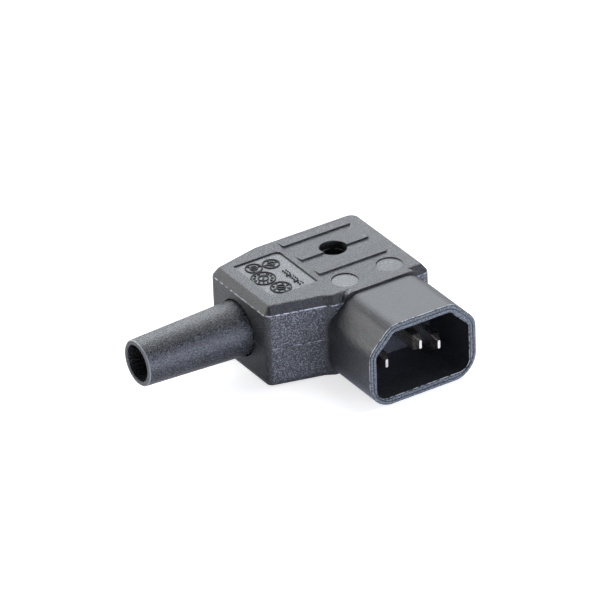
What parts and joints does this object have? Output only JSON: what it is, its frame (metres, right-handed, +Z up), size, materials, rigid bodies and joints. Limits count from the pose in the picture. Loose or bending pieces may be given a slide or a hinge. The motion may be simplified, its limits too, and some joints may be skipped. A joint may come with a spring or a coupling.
{
  "type": "right-angle rewireable inlet plug",
  "caption": "Right-angle rewireable mains plug: two-part moulded housing, cut-cornered shroud round flat blades, tapered cable sleeve to one side.",
  "frame": {"origin": "on the shroud's mating rim plane, on the shroud's centreline and the parting plane, which the cable line shares", "axes": "-Y is the way the plug goes into its socket; -X is the way the cable leaves; +Z is up through the upper shell, on the earth blade's side"},
  "size_m": [0.0684, 0.0478, 0.0211],
  "materials": {
    "housing": "spark-eroded charcoal polyamide",
    "carrier": "fine matt charcoal polyamide",
    "sleeve": "satin soft plastic",
    "plated_brass": "nickel plated, satin",
    "zinc_steel": "zinc plated"
  },
  "bodies": {
    "root": {"upper_shell": "housing", "lower_shell": "housing", "pin_carrier": "carrier", "terminal_retainer": "carrier", "cord_clamp": "carrier", "cable_sleeve": "sleeve", "line_pin": "plated_brass", "neutral_pin": "plated_brass", "earth_pin": "plated_brass", "line_wire_plate": "plated_brass", "neutral_wire_plate": "plated_brass", "earth_wire_plate": "plated_brass", "line_terminal_screw": "zinc_steel", "neutral_terminal_screw": "zinc_steel", "earth_terminal_screw": "zinc_steel", "cord_clamp_screw_1": "zinc_steel", "cord_clamp_screw_2": "zinc_steel", "housing_screw": "zinc_steel", "housing_nut": "zinc_steel"}
  },
  "joints": []
}
